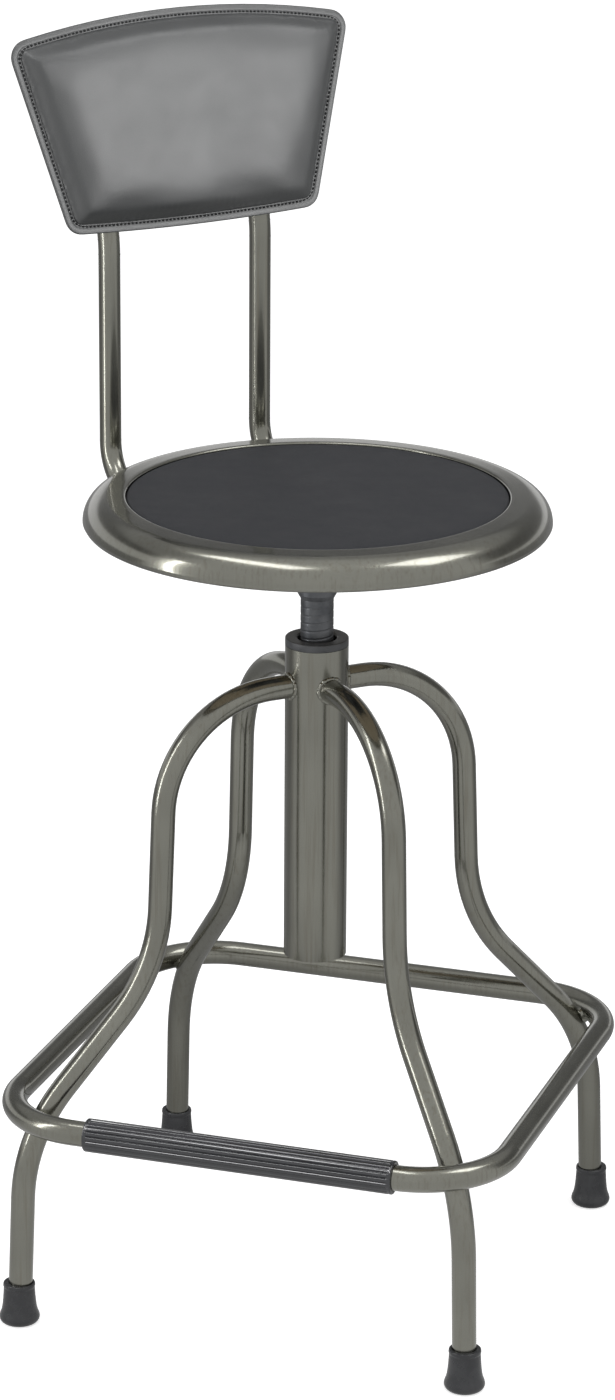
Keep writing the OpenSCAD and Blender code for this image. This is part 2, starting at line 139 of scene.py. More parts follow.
def pewter_coat():
    """Metallic pewter powder coat under a clear gloss: faint flake, orange peel, warm streaks, rub marks."""
    f = Finish("pewter_coat", Metallic=1.0, Coat_Weight=0.8, Coat_Roughness=0.05, Coat_IOR=1.5)
    patches = f.noise(70, 2)
    flake = f.noise(0.35, 1)
    blend = f.math("ADD", f.math("MULTIPLY", patches, 0.7), f.math("MULTIPLY", flake, 0.3))
    tone = f.colours(blend, (0.200, 0.199, 0.170), (0.246, 0.245, 0.210))
    streaks = f.spread(f.noise(2.6, 3, 0.6, f.stretched(1, 1, 0.03)), 0.50, 0.72, 0.0, 0.55)
    tone = f.mixed(streaks, tone, (0.165, 0.152, 0.118, 1))
    rubbed = f.spread(f.noise(3.0, 6, 0.7, f.stretched(1, 1, 0.15)), 0.42, 0.75, 0.0, 1.0)
    rough = f.math("ADD", f.spread(patches, 0.3, 0.7, 0.17, 0.23), f.math("MULTIPLY", rubbed, 0.06))
    peel = f.bump(f.noise(2.2, 2), 0.05, 0.30)
    grain = f.bump(flake, 0.01, 0.25, peel)
    return f.wire(Base_Color=tone, Roughness=rough, Normal=grain)


def black_oxide():
    """Dark, slightly oily steel with a fine turned grain."""
    f = Finish("black_oxide", Metallic=0.75, Specular_IOR_Level=0.5)
    patches = f.noise(12, 4)
    turned = f.noise(0.5, 3, 0.6, f.stretched(0.15, 0.15, 1))
    tone = f.colours(patches, (0.085, 0.09, 0.098), (0.135, 0.14, 0.148))
    rough = f.spread(turned, 0.3, 0.7, 0.36, 0.50)
    return f.wire(Base_Color=tone, Roughness=rough, Normal=f.bump(turned, 0.03, 0.5))


def collar_plastic():
    """Dark moulded plastic with slight tone patches."""
    f = Finish("collar_plastic", Specular_IOR_Level=0.55)
    patches = f.noise(8, 3)
    tone = f.colours(patches, (0.050, 0.053, 0.057), (0.072, 0.075, 0.080))
    rough = f.spread(patches, 0.3, 0.7, 0.36, 0.46)
    return f.wire(Base_Color=tone, Roughness=rough, Normal=f.bump(f.noise(0.6, 2), 0.03, 0.4))


def zinc_plate():
    """Bright zinc with a light spangle and dulled patches."""
    f = Finish("zinc_plate", Metallic=1.0)
    spangle = f.cells(1.4)
    patches = f.noise(9, 4)
    tone = f.mixed(patches, (0.50, 0.51, 0.53, 1), (0.66, 0.66, 0.64, 1))
    rough = f.spread(f.math("ADD", spangle, patches), 0.4, 1.2, 0.22, 0.42)
    return f.wire(Base_Color=tone, Roughness=rough, Normal=f.bump(spangle, 0.02, 0.4))


def rubber(name, dark, light, low_rough, high_rough, specular=0.5, pitting=0.5):
    """Moulded rubber: fine pitted skin, dusty lighter patches."""
    f = Finish(name, Specular_IOR_Level=specular)
    dust = f.noise(14, 5, 0.65)
    tone = f.colours(dust, dark, light, 0.4, 0.75)
    pits = f.noise(0.45, 2)
    return f.wire(Base_Color=tone, Roughness=f.spread(dust, 0.3, 0.7, low_rough, high_rough),
                  Normal=f.bump(pits, 0.04, pitting))


def nylon():
    """Off-white cast nylon."""
    f = Finish("nylon", Subsurface_Weight=0.2, Roughness=0.45)
    tone = f.colours(f.noise(10, 3), (0.72, 0.70, 0.62), (0.80, 0.78, 0.71))
    return f.wire(Base_Color=tone, Normal=f.bump(f.noise(0.8, 2), 0.03, 0.4))


def plywood():
    """Face veneer with grain along X and darker late wood."""
    f = Finish("plywood")
    waves = {"Vector": f.stretched(0.12, 1, 1), "Scale": 70.0, "Distortion": 5.0, "Detail": 3.0,
             "Detail Scale": 1.5}
    grain = f.node("TexWave", waves, bands_direction="Y").outputs["Fac"]
    pores = f.noise(0.7, 4, 0.7, f.stretched(0.08, 1, 1))
    early_wood, late_wood = (0.76, 0.65, 0.50, 1), (0.52, 0.41, 0.28, 1)
    tone = f.mixed(f.math("MULTIPLY", pores, grain), early_wood, late_wood)
    return f.wire(Base_Color=tone, Roughness=f.spread(pores, 0.3, 0.7, 0.55, 0.75),
                  Normal=f.bump(pores, 0.08, 0.6))


def vinyl(name, dark, light, low_rough, high_rough, grain_mm, grain_depth, sheen, specular):
    """Upholstery vinyl: creased cell grain with painted shade darkening its creases, fine pores, slight tone
    and gloss variation.
    """
    f = Finish(name, Specular_IOR_Level=specular, Sheen_Weight=sheen, Sheen_Roughness=0.35)
    patches = f.noise(45, 4, 0.6)
    cells = f.cells(grain_mm, "DISTANCE_TO_EDGE")
    creases = f.spread(cells, 0.0, 0.22, 0.0, 1.0)
    pores = f.noise(grain_mm * 0.45, 3)
    # Painted shade: the colour goes to the dark tone in the grain's creases, and elsewhere varies in random
    # patches.
    tone = f.mixed(f.math("MULTIPLY", creases, patches), (*dark, 1), (*light, 1))
    gloss = f.spread(patches, 0.3, 0.7, low_rough, high_rough)
    rough = f.math("ADD", gloss, f.math("MULTIPLY", pores, 0.06))
    raised = f.bump(creases, grain_depth, 0.5)
    return f.wire(Base_Color=tone, Roughness=rough, Normal=f.bump(pores, grain_depth * 0.5, 0.4, raised))


def thread_yarn():
    """Black twisted sewing thread."""
    f = Finish("stitch_thread", Sheen_Weight=0.1, Specular_IOR_Level=0.3)
    twist = f.noise(0.5, 2)
    return f.wire(Base_Color=f.colours(twist, (0.006, 0.006, 0.007), (0.022, 0.022, 0.024)),
                  Roughness=f.spread(twist, 0.3, 0.7, 0.5, 0.75), Normal=f.bump(twist, 0.1, 0.6))


FINISHES = {
    "pewter_steel": pewter_coat(),
    "black_collar": collar_plastic(),
    "black_steel": black_oxide(),
    "zinc_steel": zinc_plate(),
    "sleeve_rubber": rubber("sleeve_rubber", (0.007, 0.008, 0.011), (0.016, 0.018, 0.022),
                            0.06, 0.11, specular=1.0, pitting=0.1),
    "foot_rubber": rubber("foot_rubber", (0.028, 0.029, 0.032), (0.048, 0.049, 0.052), 0.20, 0.34),
    "white_nylon": nylon(),
    "plywood": plywood(),
    "seat_vinyl": vinyl("seat_vinyl", (0.013, 0.014, 0.018), (0.025, 0.027, 0.032), 0.50, 0.62,
                        grain_mm=0.9, grain_depth=0.10, sheen=0.04, specular=0.38),
    "back_vinyl": vinyl("back_vinyl", (0.030, 0.032, 0.033), (0.045, 0.047, 0.047), 0.34, 0.42,
                        grain_mm=0.8, grain_depth=0.04, sheen=0.05, specular=1.0),
    "cap_plastic": rubber("cap_plastic", (0.014, 0.014, 0.015), (0.026, 0.026, 0.027), 0.35, 0.45),
}
STITCH_FINISH = thread_yarn()


def finish_cad_nodes():
    """Gives every CAD node the material of its slot."""
    for part in frame["record"]["subparts"]:
        mesh = frame["nodes"][part["node"]].data
        mesh.materials.clear()
        mesh.materials.append(FINISHES[part["material_slot"]])


# Mesh helpers

def body_of_node(node):
    bodies = frame["record"]["behaviour"]["bodies"]
    return next(body for body, members in bodies.items() if node in members)


def slot_of_node(node):
    return next(p["material_slot"] for p in frame["record"]["subparts"] if p["node"] == node)


def add_piece(name, vertices, faces, like, material=None, stands_for=True, smooth=True):
    """A piece that rides with the CAD node `like`, takes its slot and, if it stands for it, replaces it."""
    mesh = bpy.data.meshes.new(name)
    mesh.from_pydata([tuple(v) for v in vertices], [], [tuple(f) for f in faces])
    work = bmesh.new()
    work.from_mesh(mesh)
    bmesh.ops.remove_doubles(work, verts=work.verts, dist=1e-7)
    bmesh.ops.recalc_face_normals(work, faces=work.faces)
    work.to_mesh(mesh)
    work.free()
    mesh.polygons.foreach_set("use_smooth", [smooth] * len(mesh.polygons))
    piece = bpy.data.objects.new(name, mesh)
    bpy.context.scene.collection.objects.link(piece)
    mesh.materials.append(material or FINISHES[slot_of_node(like)])
    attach(piece, body_of_node(like))
    if stands_for:
        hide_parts(like)
    return piece


def arc(centre, radius, start, end, steps):
    """Points of an arc in a plane, angles in degrees, both ends included."""
    angles = [math.radians(start + (end - start) * i / steps) for i in range(steps + 1)]
    return [(centre[0] + radius * math.cos(a), centre[1] + radius * math.sin(a)) for a in angles]


def rings_to_faces(rings, around, closed_rows=False):
    """Quads between consecutive rings of `around` vertices each."""
    faces = []
    last = rings if closed_rows else rings - 1
    for row in range(last):
        a, b = row * around, ((row + 1) % rings) * around
        for i in range(around):
            j = (i + 1) % around
            faces.append((a + i, a + j, b + j, b + i))
    return faces


def lathe(profile_mm, around=192, centre=(0, 0), closed=False):
    """Revolves (radius, height) points about an upright axis."""
    vertices = []
    for radius, height in profile_mm:
        for i in range(around):
            angle = 2 * math.pi * i / around
            vertices.append(Vector((centre[0] + radius * MM * math.cos(angle),
                                    centre[1] + radius * MM * math.sin(angle), height * MM)))
    return vertices, rings_to_faces(len(profile_mm), around, closed)


# Outline of the back pad, taken from the CAD

def in_back_frame(node):
    """A CAD node's vertices in the frame of the back pad, as an array."""
    points = np.array([v.co for v in frame["nodes"][node].data.vertices], float)
    return points @ TO_BACK.T


def convex_outline(points):
    """The convex outline of (x, z) points, anticlockwise."""
    ordered = sorted(set((round(x, 7), round(z, 7)) for x, z in points))

    def half(sequence):
        chain = []
        for p in sequence:
            while len(chain) > 1:
                (ax, az), (bx, bz) = chain[-2], chain[-1]
                if (bx - ax) * (p[1] - az) - (bz - az) * (p[0] - ax) > 1e-12:
                    break
                chain.pop()
            chain.append(p)
        return chain[:-1]

    return np.array(half(ordered) + half(ordered[::-1]))


def resampled(outline, count):
    """A closed outline as evenly spaced points, smoothed a little between the CAD's facets."""
    loop = np.vstack([outline, outline[:1]])
    lengths = np.concatenate([[0], np.cumsum(np.linalg.norm(np.diff(loop, axis=0), axis=1))])
    at = np.linspace(0, lengths[-1], count, endpoint=False)
    points = np.column_stack([np.interp(at, lengths, loop[:, k]) for k in (0, 1)])
    for _ in range(3):
        points = points / 2 + (np.roll(points, 1, 0) + np.roll(points, -1, 0)) / 4
    return points


def inset(points, distance):
    """The outline moved inward by a distance along its normals."""
    along = np.roll(points, -1, 0) - np.roll(points, 1, 0)
    inward = np.column_stack([-along[:, 1], along[:, 0]])
    inward /= np.linalg.norm(inward, axis=1)[:, None]
    return points + inward * distance


OUTLINE_STEPS = 520
flange_points = in_back_frame("back_flange")
cushion_points = in_back_frame("back_cushion")
cover_points = in_back_frame("back_cover")
PAD_OUTLINE = resampled(convex_outline(flange_points[:, [0, 2]]), OUTLINE_STEPS)
FLANGE_FRONT = flange_points[:, 1].min()
FLANGE_REAR = flange_points[:, 1].max()
COVER_REAR = cover_points[:, 1].max()
CORNER_MM, CENTRE_MM = 12.0, 60.0


def back_rings(section_mm, y_origin):
    """Rings round the back pad from (inset, rearward) points in millimetres.

    The outline is moved inward as far as its corners allow (CORNER_MM). Past that it shrinks evenly, to a
    point at CENTRE_MM.
    """
    corner = inset(PAD_OUTLINE, CORNER_MM * MM)
    middle = corner.mean(0)
    vertices = []
    for depth, rearward in section_mm:
        share = (depth - CORNER_MM) / (CENTRE_MM - CORNER_MM)
        ring = middle + (corner - middle) * (1 - share) if share > 0 else inset(PAD_OUTLINE, depth * MM)
        for x, z in ring:
            vertices.append(BACK @ Vector((x, y_origin + rearward * MM, z)))
    return vertices


# Back pad

STITCH_INSET_MM = 5.9
STITCH_PITCH_MM = 3.4


def back_flange():
    """The flat sewn border: a rolled outer edge, a pulled-in stitch line, a fall back along the top."""
    thick = (FLANGE_REAR - FLANGE_FRONT) / MM
    edge_depth, top_fall = 1.0, 1.3
    rolled = [(edge_depth + edge_depth * math.cos(a), thick / 2 + thick / 2 * math.sin(a))
              for a in (math.radians(90 + 18 * i) for i in range(11))]
    front = [(2.6, 0.0), (4.2, 0.05), (4.9, 0.35), (5.9, 1.15), (6.7, 0.6), (7.4, 0.5), (8.8, 1.3),
             (8.8, thick)]
    loop = [(2.4, thick)] + rolled + front
    rings = back_rings(loop, FLANGE_FRONT)
    along = np.roll(PAD_OUTLINE, -1, 0) - np.roll(PAD_OUTLINE, 1, 0)
    upward = np.clip(along[:, 0] / -np.linalg.norm(along, axis=1), 0, 1)
    for row, (depth, y) in enumerate(loop):
        fall = top_fall * max(0.0, 1 - depth / STITCH_INSET_MM) * max(0.0, 1 - y / thick)
        for i in range(OUTLINE_STEPS):
            rings[row * OUTLINE_STEPS + i] += REARWARD * (fall * upward[i] * MM)
    return add_piece("back_flange_border", rings, rings_to_faces(len(loop), OUTLINE_STEPS, True),
                     "back_flange")


def stitch(points, centre, along, up, side, length, radius):
    """One stitch: a short rounded thread that dips into the vinyl at both ends."""
    base = len(points)
    sides, rows = 6, 7
    for row in range(rows):
        t = row / (rows - 1) * 2 - 1
        lift = radius * (1.1 - 1.9 * t ** 4)
        thick = radius * (1 - 0.55 * t ** 6)
        for s in range(sides):
            angle = 2 * math.pi * s / sides
            points.append(centre + along * (t * length / 2) + up * (lift + thick * math.cos(angle))
                          + side * (thick * math.sin(angle)))
    faces = [(base + r * sides + s, base + r * sides + (s + 1) % sides,
              base + (r + 1) * sides + (s + 1) % sides, base + (r + 1) * sides + s)
             for r in range(rows - 1) for s in range(sides)]
    faces.append(tuple(base + s for s in range(sides)))
    faces.append(tuple(base + (rows - 1) * sides + s for s in range(sides)))
    return faces


def back_stitches():
    """A run of stitches along the seam between the border and the cushion."""
    sunk, length_mm, thread_mm = 0.85, 2.4, 0.6
    path = inset(PAD_OUTLINE, STITCH_INSET_MM * MM)
    seam = np.linalg.norm(np.roll(path, -1, 0) - path, axis=1).sum()
    count = round(seam / (STITCH_PITCH_MM * MM))
    places = resampled(path, count)
    outward = (BACK.to_3x3() @ Vector((0, -1, 0))).normalized()
    points, faces = [], []
    for i, (x, z) in enumerate(places):
        ahead, behind = places[(i + 1) % count], places[i - 1]
        along = (BACK.to_3x3() @ Vector((ahead[0] - behind[0], 0, ahead[1] - behind[1]))).normalized()
        centre = BACK @ Vector((x, FLANGE_FRONT + sunk * MM, z))
        faces += stitch(points, centre, along, outward, along.cross(outward), length_mm * MM, thread_mm * MM)
    return add_piece("back_topstitching", points, faces, "back_flange", STITCH_FINISH, stands_for=False)


def remesh(piece, size):
    """Rebuilds the piece as an even mesh of quads."""
    modifier = piece.modifiers.new("remesh", "REMESH")
    modifier.mode = "VOXEL"
    modifier.voxel_size = size
    apply_modifiers(piece)


def apply_modifiers(piece):
    """Replaces the piece's mesh by what its modifiers make of it."""
    evaluated = piece.evaluated_get(bpy.context.evaluated_depsgraph_get())
    mesh = bpy.data.meshes.new_from_object(evaluated)
    piece.modifiers.clear()
    piece.data = mesh


def coordinates(mesh):
    """A mesh's vertices as an array."""
    values = np.zeros(len(mesh.vertices) * 3)
    mesh.vertices.foreach_get("co", values)
    return values.reshape(-1, 3)


def place_from_back_frame(piece, local):
    """Moves the piece's vertices to places given in the frame of the back pad."""
    piece.data.vertices.foreach_set("co", (local @ TO_BACK).ravel())
    piece.data.update()


def swell(piece, pressure, cap, held, frames=20):
    """Inflates a closed mesh by cloth simulation.

    Vertices picked by `held` stay, and none moves more than `cap`.
    """
    rest = coordinates(piece.data)
    group = piece.vertex_groups.new(name="held")
    group.add([int(i) for i in np.flatnonzero(held(rest))], 1.0, "REPLACE")
    cloth = piece.modifiers.new("cloth", "CLOTH")
    cloth.settings.use_pressure = True
    cloth.settings.uniform_pressure_force = pressure
    cloth.settings.vertex_group_mass = "held"
    cloth.settings.quality = 6
    cloth.settings.effector_weights.gravity = 0
    cloth.point_cache.frame_start = 1
    cloth.point_cache.frame_end = frames
    for number in range(1, frames + 1):
        bpy.context.scene.frame_set(number)
    evaluated = piece.evaluated_get(bpy.context.evaluated_depsgraph_get())
    moved = coordinates(evaluated.to_mesh()) - rest
    evaluated.to_mesh_clear()
    piece.modifiers.clear()
    piece.vertex_groups.clear()
    length = np.linalg.norm(moved, axis=1)[:, None]
    moved *= np.minimum(1, cap / np.maximum(length, 1e-9))
    piece.data.vertices.foreach_set("co", (rest + moved).ravel())
    bpy.context.scene.frame_set(1)


def softened(piece, rounds):
    """Smooths the piece, then divides its faces once."""
    modifier = piece.modifiers.new("smooth", "CORRECTIVE_SMOOTH")
    modifier.iterations = rounds
    modifier.use_only_smooth = True
    apply_modifiers(piece)
    divide = piece.modifiers.new("divide", "SUBSURF")
    divide.levels = divide.render_levels = 1
    apply_modifiers(piece)
    piece.data.polygons.foreach_set("use_smooth", [True] * len(piece.data.polygons))


def outline_depth(x, z):
    """How far points of the back pad's plane lie from its outline."""
    ahead = np.roll(PAD_OUTLINE, -1, 0) - PAD_OUTLINE
    length = np.linalg.norm(ahead, axis=1)
    depth = np.full(len(x), 1.0)
    for (px, pz), (ax, az), size in zip(PAD_OUTLINE, ahead, length):
        along = np.clip(((x - px) * ax + (z - pz) * az) / size ** 2, 0, 1)
        depth = np.minimum(depth, np.hypot(x - px - along * ax, z - pz - along * az))
    return depth


def eased(piece, rounds):
    """Evens out the height of the pad's front, which takes the creases out of its folds and corners."""
    local = coordinates(piece.data) @ TO_BACK.T
    pairs = np.zeros(len(piece.data.edges) * 2, int)
    piece.data.edges.foreach_get("vertices", pairs)
    pairs = pairs.reshape(-1, 2)
    front = local[:, 1] < FLANGE_FRONT
    pairs = pairs[front[pairs].all(1)]
    count = np.maximum(1, np.bincount(pairs.ravel(), minlength=len(local)))
    for _ in range(rounds):
        total = np.bincount(pairs[:, 0], local[pairs[:, 1], 1], len(local))
        total += np.bincount(pairs[:, 1], local[pairs[:, 0], 1], len(local))
        local[:, 1] = np.where(front & (total != 0), (local[:, 1] + total / count) / 2, local[:, 1])
    place_from_back_frame(piece, local)


def sewn_down(piece, seam_mm, width_mm, tuck_mm):
    """Draws the swollen panel's edge down into the seam, along a rounded shoulder of even width."""
    local = coordinates(piece.data) @ TO_BACK.T
    depth = outline_depth(local[:, 0], local[:, 2]) / MM
    rise = np.sin(np.clip((depth - seam_mm) / width_mm, 0, 1) * math.pi / 2) ** 0.9
    height = FLANGE_FRONT - local[:, 1]
    front = height > -0.1 * MM
    shaped = -tuck_mm * MM + (height + tuck_mm * MM) * rise
    local[:, 1] = np.where(front, FLANGE_FRONT - shaped, local[:, 1])
    place_from_back_frame(piece, local)


def back_cushion():
    """The crowned front: a slab swollen by cloth simulation, then evened and drawn down into the seam."""
    edge, rear, slab = 3.6, 0.3, 9.0
    section = [(CENTRE_MM, rear), (edge, rear), (edge, -slab), (CENTRE_MM, -slab)]
    piece = add_piece("back_cushion_panel", back_rings(section, FLANGE_FRONT),
                      rings_to_faces(len(section), OUTLINE_STEPS), "back_cushion")
    remesh(piece, 4.0 * MM)
    swell(piece, 4.0, 6 * MM, lambda co: (co @ TO_BACK.T)[:, 1] > FLANGE_FRONT - 1.2 * MM)
    eased(piece, 18)
    softened(piece, 8)
    sewn_down(piece, 7.2, 11.5, 1.3)
    eased(piece, 8)
    return piece


def back_board():
    """The plywood board inside the covers, a little smaller than its place."""
    low, high = cushion_points[:, 1].max(), cover_points[:, 1].min()
    depth = (high - low) / MM
    front, rear = 0.9, depth - 0.4
    section = [(CENTRE_MM, front), (10.0, front), (9.2, front + 0.7), (9.2, rear), (CENTRE_MM, rear)]
    return add_piece("back_board_ply", back_rings(section, low), rings_to_faces(len(section), OUTLINE_STEPS),
                     "back_board", smooth=False)


def back_cover():
    """The rear panel, wrapped round the board's edge up to the sewn border."""
    depth = (COVER_REAR - FLANGE_REAR) / MM
    bend = 4.5
    side = 6.6
    section = [(3.2, -0.4), (side - 0.4, 0.0), (side, 0.8), (side, depth - bend - 1.0)]
    section += [(side + bend - bend * math.cos(a), depth - bend + bend * math.sin(a))
                for a in (math.radians(15 * i) for i in range(1, 7))]
    section += [(inward, depth) for inward in (14, 20, 30, 42, 52, CENTRE_MM)]
    return add_piece("back_rear_cover", back_rings(section, FLANGE_REAR),
                     rings_to_faces(len(section), OUTLINE_STEPS), "back_cover")


# Seat

AXIS_MM = 0.01


def seat_pan():
    """The pressed pan: recess with a small lip radius, faintly crowned rim, rolled outer edge and curl."""
    low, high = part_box("seat_pan")
    outer = (high.x - low.x) / 2 / MM
    top = high.z / MM
    floor = top - 6.0
    recess, sheet, roll, curl = 149.0, 1.5, 20.0, 5.0
    rim = outer - roll
    profile = [(AXIS_MM, floor), (60, floor), (120, floor)]
    profile += arc((recess - 1.5, floor + 1.5), 1.5, -90, 0, 6)
    slope, fall = 2.8, 0.62
    profile += arc((recess + 1.6, top - 1.6), 1.6, 180, 90 - slope, 10)
    profile += [(recess + 5, top - 0.18), (recess + 9, top - 0.38)]
    profile += arc((rim, top - roll - fall), roll, 90 - slope, 0, 36)
    profile += arc((outer - curl, top - roll - fall), curl - fall, 0, -90, 10)[1:]
    profile += arc((outer - curl, top - roll - fall), curl - fall - sheet, -90, 0, 8)
    profile += arc((rim, top - roll - fall), roll - sheet, 0, 90 - slope, 24)
    profile += arc((recess + 3.4, top - 4.6), 3.1, 90, 180, 6)
    under = floor - sheet
    profile += [(recess + sheet, under + 0.8), (recess, under), (120, under), (AXIS_MM, under)]
    vertices, faces = lathe(profile, 256)
    return add_piece("seat_pan_pressed", vertices, faces, "seat_pan")


def seat_pad():
    """The inset pad: a thin vinyl disc over foam, soft at its edge and rising about a tenth of a millimetre
    towards the middle.
    """
    low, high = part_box("seat_pad")
    outer = (high.x - low.x) / 2 / MM
    base, top = low.z / MM, high.z / MM
    profile = [(AXIS_MM, base + 0.4), (70, base + 0.4), (outer - 1.0, base + 0.4), (outer, base + 1.2)]
    profile += arc((outer - 2.2, top - 2.4), 2.2, 0, 80, 6)
    profile += [(outer - 6, top - 0.12), (outer - 12, top - 0.04)]
    profile += [(radius, top) for radius in (*range(128, 7, -12), AXIS_MM)]
    vertices, faces = lathe(profile, 192)
    piece = add_piece("seat_pad_vinyl", vertices, faces, "seat_pad")
    return piece


# Lift

def lift_screw():
    """The screw with its right-hand thread: flat crests, narrow rounded grooves, plain journal below."""
    low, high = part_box("lift_screw")
    crest, journal = 13.0 * MM, 9.0 * MM
    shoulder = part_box("guide_bush")[1].z + 0.3 * MM
    around, per_turn = 72, 14
    rows = [(low.z, journal, False), (shoulder, journal, False)]
    steps = int((high.z - shoulder) / THREAD_PITCH * per_turn)
    rows += [(shoulder + (high.z - shoulder) * i / steps, crest, True) for i in range(steps + 1)]
    depth, half_width = 0.32 * MM, 0.13
    vertices = [Vector((0, 0, low.z))]
    for height, radius, threaded in rows:
        for i in range(around):
            turn = i / around
            phase = (height / THREAD_PITCH - turn) % 1.0 - 0.5
            groove = max(0.0, 1 - (abs(phase) / half_width) ** 2) if threaded else 0.0
            r = radius - depth * groove
            angle = 2 * math.pi * turn
            vertices.append(Vector((r * math.cos(angle), r * math.sin(angle), height)))
    faces = [tuple(i + 1 for i in face) for face in rings_to_faces(len(rows), around)]
    faces += [(0, 1 + (i + 1) % around, 1 + i) for i in range(around)]
    return add_piece("lift_screw_thread", vertices, faces, "lift_screw")


def top_collar():
    """The moulded collar in the column's mouth, with a chamfered top and a rounded bore."""
    low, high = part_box("top_collar")
    outer = (high.x - low.x) / 2 / MM
    seat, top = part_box("column_tube")[1].z / MM, high.z / MM
    bore, plug = 15.5, outer - 2.6
    profile = [(plug, low.z / MM), (plug, seat), (outer - 0.4, seat), (outer, seat + 0.4)]
    profile += arc((outer - 0.9, top - 0.9), 0.9, 0, 90, 6)
    profile += [(outer - 3.2, top - 0.05)]
    profile += arc((bore + 1.6, top - 1.6), 1.6, 90, 180, 8)
    profile += [(bore, low.z / MM), (plug, low.z / MM)]
    vertices, faces = lathe(profile, 128)
    return add_piece("top_collar_moulded", vertices, faces, "top_collar")


# Base

FEET = ["foot_front_left", "foot_front_right", "foot_back_right", "foot_back_left"]


def footrest_sleeve():
    """The ribbed sleeve on the front bar: rounded ribs between narrow grooves, a plain rim at each end."""
    low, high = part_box("footrest_sleeve")
    y, z = (low.y + high.y) / 2, (low.z + high.z) / 2
    crest = (high.z - low.z) / 2
    bar = (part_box("foot_ring")[1].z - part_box("foot_ring")[0].z) / 2
    ribs, per_rib, rim = 20, 12, 3.0 * MM
    root = crest - 1.5 * MM
    around = ribs * per_rib
    ends = [(0.0, 0.72, 0), (0.25, 0.93, 0), (0.8, 1.0, 0), (rim / MM - 0.8, 1.0, 0),
            (rim / MM - 0.2, 0.93, 0.4)]
    places = [(low.x + a * MM, h, r) for a, h, r in ends]
    places += [(low.x + rim + 0.6 * MM, 1.0, 1.0), (high.x - rim - 0.6 * MM, 1.0, 1.0)]
    places += [(high.x - a * MM, h, r) for a, h, r in reversed(ends)]
    vertices = []
    for x, height, ribbed in places:
        for i in range(around):
            phase = (i % per_rib) / per_rib - 0.5
            crown = math.sqrt(max(0.0, 1 - (abs(phase) / 0.42) ** 4))
            full = bar + (crest - bar) * height
            ribbed_radius = root + (crest - root) * crown
            radius = full + (min(full, ribbed_radius) - full) * ribbed
            angle = 2 * math.pi * i / around
            vertices.append(Vector((x, y + radius * math.cos(angle), z + radius * math.sin(angle))))
    for x in (high.x, low.x):
        for i in range(around):
            angle = 2 * math.pi * i / around
            vertices.append(Vector((x, y + bar * math.cos(angle), z + bar * math.sin(angle))))
    faces = rings_to_faces(len(places) + 2, around, True)
    return add_piece("footrest_sleeve_ribbed", vertices, faces, "footrest_sleeve")


def column_weld_beads():
    """An uneven rippled bead where each leg's tube meets the column."""
    low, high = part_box("column_tube")
    column_r = (high.x - low.x) / 2
    low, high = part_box("column_welds")
    height = (low.z + high.z) / 2
    around, sides = 120, 10
    vertices, faces = [], []
    for number, foot in enumerate(FEET):
        low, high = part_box(foot)
        out = Vector(((low.x + high.x) / 2, (low.y + high.y) / 2, 0)).normalized()
        side = Vector((-out.y, out.x, 0))
        base = len(vertices)
        for i in range(around):
            angle = 2 * math.pi * i / around
            across = LEG_TUBE_RADIUS * math.cos(angle)
            away = math.sqrt(column_r ** 2 - across ** 2)
            middle = out * away + side * across + Vector((0, 0, height + LEG_TUBE_RADIUS * math.sin(angle)))
            from_tube = side * math.cos(angle) + Vector((0, 0, math.sin(angle)))
            ripple = 0.22 * math.cos(17 * angle + number) + 0.18 * math.cos(5 * angle + 2 * number)
            ripple += 0.12 * math.cos(29 * angle + 3 * number)
            thick = (1.9 + ripple) * MM
            for k in range(sides):
                turn = 2 * math.pi * k / sides
                round_tube = out * (thick * math.cos(turn)) + from_tube * (thick * math.sin(turn))
                vertices.append(middle + round_tube)
        faces += [tuple(base + v for v in face) for face in rings_to_faces(around, sides, True)]
    return add_piece("column_weld_beads", vertices, faces, "column_welds")


def rubber_foot(node):
    """A moulded foot: flared base, drawn-in waist, bead at the mouth and a socket for the splayed leg."""
    low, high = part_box(node)
    centre = (low + high) / 2
    height = (high.z - low.z) / MM
    mouth, socket = 12.6, 9.6
    splayed = 9.0
    profile = [(AXIS_MM, 0.6), (9.4, 0.6), (10.2, 0.0), (11.2, 0.0)]
    profile += arc((11.2, 4.8), 4.8, -80, 8, 10)
    profile += [(15.4, 7.6), (14.6, 9.6), (14.0, 11.9), (13.55, 14.5), (13.2, 17.5), (12.9, 21.0),
                (12.65, 24.5), (12.4, height - 5.0), (12.2, height - 4.2)]
    profile += arc((mouth - 1.2, height - 2.4), 1.35, -50, 0, 4)
    profile += arc((mouth - 1.1, height - 1.1), 1.1, 0, 90, 6)
    profile += arc((socket + 0.7, height - 0.7), 0.7, 90, 180, 4)
    profile += [(socket, height - 8)]
    around = 96
    toward = Vector((-centre.x, -centre.y, 0)).normalized()
    vertices, faces = lathe(profile, around, (centre.x, centre.y))
    for ring, (radius, z) in enumerate(profile):
        if radius < socket + 1 and z > height / 2:
            share = min(1.0, max(0.0, (z - (height - splayed)) / splayed))
            lean = toward * (height * MM * math.tan(LEG_SPLAY) * share)
            for i in range(around):
                vertices[ring * around + i] += lean
    return add_piece(node + "_moulded", vertices, faces, node)


# Stage

VIEW_AZIMUTH = math.radians(18.14)
TOWARD_CAMERA = Vector((math.sin(VIEW_AZIMUTH), -math.cos(VIEW_AZIMUTH), 0))
TO_THE_RIGHT = Vector((math.cos(VIEW_AZIMUTH), math.sin(VIEW_AZIMUTH), 0))


